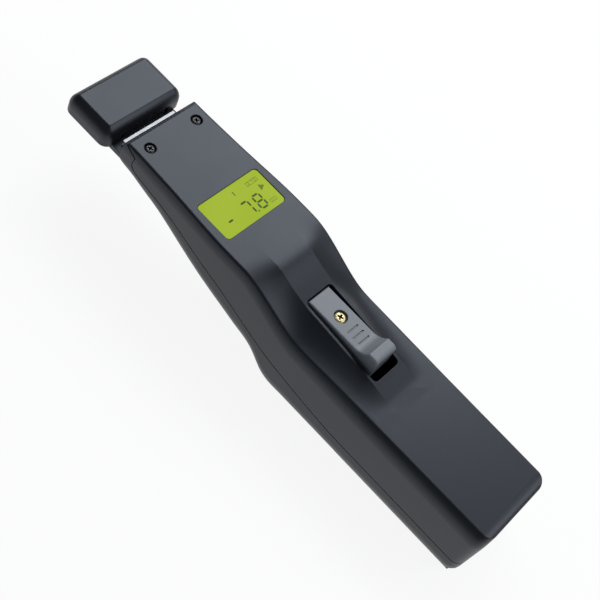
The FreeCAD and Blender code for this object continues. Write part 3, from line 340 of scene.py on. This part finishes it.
class IDENTIFIER_OT_slide(bpy.types.Operator):
    """Finishes of the thumb slide, its carriage, the rod, the spring and the jaw"""
    bl_idname = "identifier.slide"
    bl_label = "Slide and jaw finishes"

    def execute(self, context):
        # Grey ABS, moulded in a finer tool: smoother than the housing, so its rounded lip shines.
        abs_grey = grained(
            "grey ABS, fine moulded", looks().slide_dark, looks().slide_light, 0.42, 0.4, 0.004, edge_mm=0.3)
        dress(abs_grey, "slide_button")
        # Acetal, machined and milky: low-friction white plastic of the carriage.
        dress(grained("acetal, machined", tone("#b9b7ad"), tone("#c6c4bb"), 0.45, 0.8, 0.006), "slide_carriage")
        # Aluminium, milled and bead-blasted: an even satin silver with faint tool lines across the jaw.
        dress(metal("aluminium, satin", tone("#7e8183"), tone("#8c8f91"), 0.4, 0.5, (0.15, 1.0, 1.0)),
              "clamp_jaw")
        # Steel, drawn: fine lines along the rod and the wire.
        steel = metal("steel, drawn", tone("#8b8d90"), tone("#a6a8ab"), 0.3, 0.3, (1.0, 0.1, 1.0))
        dress(steel, "push_rod", "return_spring")
        self.coil(steel)
        # Brass, turned: warm yellow with fine rings.
        dress(metal("brass, turned", tone("#a98a3a"), tone("#c2a34c"), 0.28, 0.3, (1.0, 0.2, 1.0)), "rod_bush")
        return {"FINISHED"}

    def coil(self, material):
        """The return spring as a coil of round wire, riding on the casing."""
        low, high = [Vector(corner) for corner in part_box("return_spring")]
        turns, steps, sides = 6, 28, 8
        wire = 0.34 * MM
        middle = (low + high) / 2
        radius = (high.x - low.x) / 2 - wire
        length = high.y - low.y - 2 * wire
        bm = bmesh.new()
        rings = []
        for k in range(turns * steps + 1):
            angle = 2 * math.pi * k / steps
            out = Vector((math.cos(angle), 0.0, math.sin(angle)))
            heart = Vector((middle.x, low.y + wire + length * k / (turns * steps), middle.z)) + out * radius
            around = [2 * math.pi * n / sides for n in range(sides)]
            rings.append([bm.verts.new(heart + wire * (out * math.cos(b) + Vector((0, math.sin(b), 0))))
                          for b in around])
        for first, second in zip(rings, rings[1:]):
            for n in range(sides):
                m = (n + 1) % sides
                bm.faces.new((first[n], first[m], second[m], second[n])).smooth = True
        bm.faces.new(rings[0][::-1])
        bm.faces.new(rings[-1])
        bmesh.ops.recalc_face_normals(bm, faces=bm.faces)
        spring = piece("return_spring_coil", bm, material, "casing")
        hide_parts("return_spring")
        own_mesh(spring)


class IDENTIFIER_OT_insides(bpy.types.Operator):
    """Finishes of the boards, the battery and the detectors"""
    bl_idname = "identifier.insides"
    bl_label = "Inner finishes"

    def execute(self, context):
        dress(self.board(), "main_board", "detector_board")
        # Epoxy moulding compound and PBT: dull black with a fine even grain.
        dress(grained("epoxy, moulded black", tone("#141415"), tone("#1b1b1c"), 0.6, 0.3, 0.006),
              "controller_chip", "detectors", "trigger_switch", "battery_clip")
        # Silicone rubber with carbon layers, cut: soft dark stripes.
        dress(grained("silicone rubber, cut", tone("#3a3a3c"), tone("#48484a"), 0.7, 0.4, 0.01),
              "contact_strips")
        # Polyurethane foam, skived: open cells of about 0.6 mm.
        dress(grained("polyurethane foam, skived", tone("#202023"), tone("#2c2c30"), 0.9, 0.6, 0.12),
              "battery_pad")
        # Tinplate, lacquered: smooth dark jacket of the block battery.
        dress(grained("tinplate, lacquered", tone("#2a2f38"), tone("#323843"), 0.3, 1.5, 0.004), "battery")
        # Acrylic, opal: the milky light guide behind the display.
        dress(grained("acrylic, opal", tone("#d5dcb4"), tone("#dfe6c0"), 0.35, 1.0, 0.002), "lcd_backlight")
        # Steel, zinc plated: a bright even grey of the small screws.
        dress(metal("steel, zinc plated", tone("#9a9c9c"), tone("#b4b6b8"), 0.3, 0.4, EVEN), "board_screws")
        # Polycarbonate, smoked: passes infrared and looks black with a clean gloss.
        dress(grained("polycarbonate, smoked", tone("#0d0b0e"), tone("#141116"), 0.12, 2.0, 0.001),
              "detector_window")
        return {"FINISHED"}

    def board(self):
        """Epoxy glass laminate under green resist: copper lines show as slightly lighter stripes."""
        material, tree, output = blank("epoxy glass laminate, green resist")
        place = add(tree, "ShaderNodeTexCoord")
        tracks = add(tree, "ShaderNodeTexBrick", {
            "Vector": place.outputs["Object"], "Scale": per_metre(2.5), "Mortar Size": 0.12, "Bias": 0.0,
            "Color1": tone("#1d5a34"), "Color2": tone("#1a5230"), "Mortar": tone("#2f7a48")})
        bump = add(tree, "ShaderNodeBump", {"Height": tracks.outputs["Fac"], "Distance": 0.03 * MM})
        shade(tree, output, base_color=tracks.outputs["Color"], roughness=0.35, normal=bump.outputs["Normal"])
        return material


class IDENTIFIER_OT_display(bpy.types.Operator):
    """The display's ground and its window, both in the lit finish, and its marks"""
    bl_idname = "identifier.display"
    bl_label = "Display"

    def execute(self, context):
        # Liquid-crystal glass under its matt front window, lit from behind: an even yellow-green
        # that glows more than it reflects.
        material, tree, output = blank("liquid crystal glass, lit")
        place = add(tree, "ShaderNodeTexCoord").outputs["Object"]
        _, ramp = clouded(tree, place, 24.0, looks().display_ground, tone("#a6be30"), 1.0)
        shade(tree, output, base_color=tone("#3c4410"), roughness=0.5, specular_level=0.1,
              emission_color=ramp.outputs["Color"], emission_strength=0.85)
        dress(material, "lcd_lens", "lcd_glass")
        self.marks()
        return {"FINISHED"}

    def marks(self):
        """Digits, point, arrow, boxes and tick on the display, placed in millimetres from its middle."""
        low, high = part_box("lcd_lens")
        middle = Vector(((low[0] + high[0]) / 2, (low[1] + high[1]) / 2, high[2] + 0.02 * MM))
        size = looks()
        strong, faint = bmesh.new(), bmesh.new()

        def at(x, y):
            return middle + Vector((x * MM, y * MM, 0))

        self.digit(strong, at(-0.9, -5.45), size.digit_width, size.digit_height, size.stroke, "abc")
        self.digit(strong, at(4.6, -5.45), size.digit_width, size.digit_height, size.stroke, "abcdefg")
        self.bar(strong, at(-9.0, -2.8), at(-6.9, -2.8), size.stroke)
        self.bar(strong, at(2.7, -5.4), at(3.4, -5.4), size.stroke)
        self.bar(strong, at(0.4, 3.45), at(0.4, 5.3), 0.35 * MM)
        faint.faces.new([faint.verts.new(at(x, y)) for x, y in ((9.7, -0.15), (11.95, 1.1), (9.9, 2.45))])
        self.frame_box(faint, middle, 6.45, 3.7, 11.7, 5.15)
        self.frame_box(faint, middle, 9.1, -5.5, 11.9, -4.3)
        for i, shape in enumerate(("abged", "abc", "abcdef")):
            self.digit(faint, at(7.2 + 1.5 * i, 3.98), 0.8 * MM, 0.9 * MM, 0.2 * MM, shape)
        for i in range(2):
            self.bar(faint, at(9.9 + 0.9 * i, -5.2), at(9.9 + 0.9 * i, -4.6), 0.25 * MM)
        piece("display_digits", strong, self.ink("liquid crystal, switched on", size.display_mark), "casing")
        piece("display_icons", faint, self.ink("liquid crystal, half lit", tone("#5b6c1c")), "casing")

    def ink(self, name, colour):
        """Liquid crystal that blocks the backlight: matt dark olive, a little cloudy, and glowing faintly in
        its own colour at half strength.
        """
        material, tree, output = blank(name)
        place = add(tree, "ShaderNodeTexCoord").outputs["Object"]
        deep, pale = ([c * share for c in colour[:3]] + [1.0] for share in (0.85, 1.15))
        _, ramp = clouded(tree, place, 1.0, deep, pale)
        shade(tree, output, base_color=ramp.outputs["Color"], roughness=0.5, specular_level=0.1,
              emission_color=ramp.outputs["Color"], emission_strength=0.5)
        return material

    def bar(self, bm, start, end, width):
        """One segment with pointed ends."""
        along = (end - start).normalized()
        side = Vector((-along.y, along.x, 0)) * width / 2
        nib = along * width / 2
        tip = nib * 0.2
        ring = [start - tip, start + nib - side, end - nib - side,
                end + tip, end - nib + side, start + nib + side]
        bm.faces.new([bm.verts.new(point) for point in ring])

    def digit(self, bm, corner, width, height, stroke, shape):
        """A seven-segment digit with its lower left corner given."""
        spots = {
            "a": ((0, 1), (1, 1)), "b": ((1, 0.5), (1, 1)), "c": ((1, 0), (1, 0.5)), "d": ((0, 0), (1, 0)),
            "e": ((0, 0), (0, 0.5)), "f": ((0, 0.5), (0, 1)), "g": ((0, 0.5), (1, 0.5)),
        }
        for letter in shape:
            ends = [corner + Vector((x * width, y * height, 0)) for x, y in spots[letter]]
            gap = (ends[1] - ends[0]).normalized() * stroke * 0.35
            self.bar(bm, ends[0] + gap, ends[1] - gap, stroke)

    def frame_box(self, bm, middle, left, low, right, high):
        """A small outlined box, in millimetres from the display's middle."""
        width = 0.16 * MM
        around = ((left, low), (right, low), (right, high), (left, high))
        corners = [middle + Vector((x * MM, y * MM, 0)) for x, y in around]
        for start, end in zip(corners, corners[1:] + corners[:1]):
            self.bar(bm, start, end, width)


class IDENTIFIER_OT_screws(bpy.types.Operator):
    """Pan-head screws with cross recesses, in place of the plain ones"""
    bl_idname = "identifier.screws"
    bl_label = "Screws"

    def execute(self, context):
        # Brass, turned and polished: pale gold with fine rings.
        brass = metal("brass, polished", tone("#cdc193"), tone("#dbd0a6"), 0.42, 0.25, EVEN)
        # Steel, black oxide: dark grey metal with a soft sheen.
        black = metal("steel, black oxide", tone("#3a3b3d"), tone("#4a4b4e"), 0.34, 0.3, EVEN)
        # Brass and steel in the punched recess: dull and darker, the darkness being painted shade in the
        # recess, so the cross reads dark.
        shaded_recess_brass = metal("brass, recess with painted shade", tone("#5c4820"), tone("#735b2a"), 0.6, 0.25, EVEN)
        shaded_recess_steel = metal("steel, recess with painted shade", tone("#1b1b1c"), tone("#242426"), 0.6, 0.3, EVEN)
        self.screws("slide_screw", brass, shaded_recess_brass, "slide", "brass", 1)
        for node, up in (("neck_screws", 1), ("back_screws", -1), ("head_screws", -1)):
            self.screws(node, black, shaded_recess_steel, "casing", "black_steel", up)
        return {"FINISHED"}

    def screws(self, node, material, recess_shade, body, slot, up):
        """One screw, or a pair of them, where a CAD node stands."""
        low, high = [Vector(corner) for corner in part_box(node)]
        radius = (high.y - low.y) / 2
        middle = (low.y + high.y) / 2
        across = (high.x - low.x) / 2 - radius
        places = [0.0] if across < radius else [-across, across]
        top = high.z if up > 0 else low.z
        length = high.z - low.z
        bm = bmesh.new()
        # Each cross stands at an angle of its own, as driven screws do.
        for x, turn in zip(places, (20, 55)):
            self.one(bm, Vector((x, middle, top)), radius, length, up, turn)
        bmesh.ops.recalc_face_normals(bm, faces=bm.faces)
        obj = piece(node + "_crossed", bm, material, body)
        # The second material holds the painted shade of the cross recess.
        obj.data.materials.append(recess_shade)
        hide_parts(node)

    def one(self, bm, place, radius, length, up, turn):
        """A lathe-turned screw whose domed head has a cross recess."""
        head = 1.1 * MM
        reach = radius * looks().recess
        half = radius * 0.17
        depth = head * 0.8
        taper = 0.72
        shank = radius * 0.52
        rings = 40
        profile = [(radius * 0.55, 0.0), (radius * 0.82, -0.12 * head), (radius * 0.96, -0.34 * head),
                   (radius, -0.58 * head), (radius, -head), (shank, -head), (shank, -length + 0.3 * MM),
                   (shank * 0.7, -length), (0.0, -length)]
        spin = Matrix.Rotation(math.radians(turn), 4, "Z")
        flip = Matrix.Identity(4) if up > 0 else Matrix.Rotation(math.pi, 4, "X")
        set_down = Matrix.Translation(place) @ flip @ spin

        def vert(x, y, z):
            return bm.verts.new(set_down @ Vector((x, y, z)))

        cross = []
        for quarter in range(4):
            cos, sin = math.cos(quarter * math.pi / 2), math.sin(quarter * math.pi / 2)
            for x, y in ((half, -half), (reach, -half), (reach, half)):
                cross.append((x * cos - y * sin, x * sin + y * cos))
        rim = [vert(x, y, 0.0) for x, y in cross]
        floor = [vert(x * taper, y * taper, -depth) for x, y in cross]
        count = len(cross)
        for i in range(count):
            j = (i + 1) % count
            # The recess walls and floor take the second material, darkened with painted shade.
            bm.faces.new((rim[j], rim[i], floor[i], floor[j])).material_index = 1
        bm.faces.new(floor).material_index = 1
        loops = []
        for r, z in profile[:-1]:
            loops.append([vert(r * math.cos(a), r * math.sin(a), z)
                          for a in (2 * math.pi * k / rings for k in range(rings))])
        tip = vert(0.0, 0.0, profile[-1][1])
        for outer, inner in zip(loops[1:], loops):
            for k in range(rings):
                n = (k + 1) % rings
                face = bm.faces.new((inner[k], outer[k], outer[n], inner[n]))
                face.smooth = True
        for k in range(rings):
            bm.faces.new((loops[-1][k], tip, loops[-1][(k + 1) % rings]))
        edges = [bm.edges.get((rim[i], rim[(i + 1) % count])) for i in range(count)]
        edges += [bm.edges.get((loops[0][k], loops[0][(k + 1) % rings])) for k in range(rings)]
        upward = set_down.to_3x3() @ Vector((0, 0, 1))
        bmesh.ops.triangle_fill(bm, edges=edges, use_beauty=True, normal=upward)


class IDENTIFIER_OT_stage(bpy.types.Operator):
    """A plain pale floor, soft studio light and the camera"""
    bl_idname = "identifier.stage"
    bl_label = "Stage"

    def execute(self, context):
        scene = context.scene
        scene.view_settings.view_transform = "Standard"
        bm = bmesh.new()
        bmesh.ops.create_grid(bm, x_segments=1, y_segments=1, size=FLOOR_HALF)
        mesh = bpy.data.meshes.new("floor")
        bm.to_mesh(mesh)
        bm.free()
        floor = bpy.data.objects.new("floor", mesh)
        floor.location.z = -FLOOR_DROP
        scene.collection.objects.link(floor)
        # Paper, white and matt: it glows a little, so it stays pale and throws soft light up at the part.
        material, tree, output = blank("paper, white")
        place = add(tree, "ShaderNodeTexCoord").outputs["Object"]
        away = add(tree, "ShaderNodeVectorMath", {0: place, 1: GLOW_SPOT}, operation="DISTANCE")
        glow = add(tree, "ShaderNodeMapRange", {
            "Value": away.outputs["Value"], "From Min": GLOW_NEAR, "From Max": GLOW_FAR,
            "To Min": GLOW_BRIGHT, "To Max": GLOW_DIM}, interpolation_type="SMOOTHSTEP")
        shade(tree, output, base_color=tone("#5c5c5c"), roughness=0.9, specular_level=0.0,
              emission_color=tone("#ffffff"), emission_strength=glow.outputs["Result"])
        mesh.materials.append(material)
        for panel in PANELS:
            self.light(*panel)
        scene.world = self.room()
        self.camera(scene)
        return {"FINISHED"}

    def room(self):
        """A dim room around the stage, with a pale backdrop behind it."""
        world = bpy.data.worlds.new("studio")
        world.use_nodes = True
        tree = world.node_tree
        tree.nodes.clear()
        dim = add(tree, "ShaderNodeBackground", {"Color": tone("#c8ccd4"), "Strength": 0.24})
        pale = add(tree, "ShaderNodeBackground", {"Color": tone("#d8dade"), "Strength": 0.8})
        seen = add(tree, "ShaderNodeLightPath").outputs["Is Camera Ray"]
        both = add(tree, "ShaderNodeMixShader", {0: seen, 1: dim.outputs[0], 2: pale.outputs[0]})
        add(tree, "ShaderNodeOutputWorld", {"Surface": both.outputs[0]})
        return world

    def light(self, name, place, along, up, power):
        """A large soft panel that looks at the object."""
        lamp = bpy.data.lights.new(name, "AREA")
        lamp.shape = "RECTANGLE"
        lamp.size = along
        lamp.size_y = up
        lamp.energy = power
        lamp.color = tone("#fafcff")[:3]
        obj = bpy.data.objects.new(name, lamp)
        obj.location = place
        obj.rotation_euler = (-Vector(place)).to_track_quat("-Z", "Y").to_euler()
        bpy.context.scene.collection.objects.link(obj)

    def camera(self, scene):
        """The photograph's view: over the tool's left shoulder, its head to the upper left."""
        right, up = Vector(CAMERA_RIGHT), Vector(CAMERA_UP)
        back = right.cross(up)
        lens = bpy.data.cameras.new("camera")
        lens.sensor_width = SENSOR_WIDTH
        lens.lens = LENS_LENGTH
        lens.clip_start = NEAR_CLIP
        obj = bpy.data.objects.new("camera", lens)
        turn = Matrix((right, up, back)).transposed().to_4x4()
        obj.matrix_world = Matrix.Translation(CAMERA_PLACE) @ turn
        scene.collection.objects.link(obj)
        scene.camera = obj


class IDENTIFIER_PT_panel(bpy.types.Panel):
    """The looks of the fiber identifier"""
    bl_label = "Fiber identifier"
    bl_idname = "IDENTIFIER_PT_panel"
    bl_space_type = "VIEW_3D"
    bl_region_type = "UI"
    bl_category = "Identifier"

    def draw(self, context):
        for name in IdentifierLooks.__annotations__:
            self.layout.prop(context.scene.identifier_looks, name)
        for operator in OPERATORS:
            self.layout.operator(operator.bl_idname)


OPERATORS = (
    IDENTIFIER_OT_housing,
    IDENTIFIER_OT_head,
    IDENTIFIER_OT_slide,
    IDENTIFIER_OT_insides,
    IDENTIFIER_OT_display,
    IDENTIFIER_OT_screws,
    IDENTIFIER_OT_stage,
)
CLASSES = (IdentifierLooks,) + OPERATORS + (IDENTIFIER_PT_panel,)


def register():
    """Adds the classes and the scene's settings."""
    for entry in CLASSES:
        bpy.utils.register_class(entry)
    bpy.types.Scene.identifier_looks = PointerProperty(type=IdentifierLooks)


def unregister():
    """Takes them away again."""
    del bpy.types.Scene.identifier_looks
    for entry in reversed(CLASSES):
        bpy.utils.unregister_class(entry)


def main():
    """Dresses the part."""
    register()
    bpy.ops.identifier.housing()
    bpy.ops.identifier.head()
    bpy.ops.identifier.slide()
    bpy.ops.identifier.insides()
    bpy.ops.identifier.display()
    bpy.ops.identifier.screws()
    bpy.ops.identifier.stage()


if __name__ == "__main__":
    main()
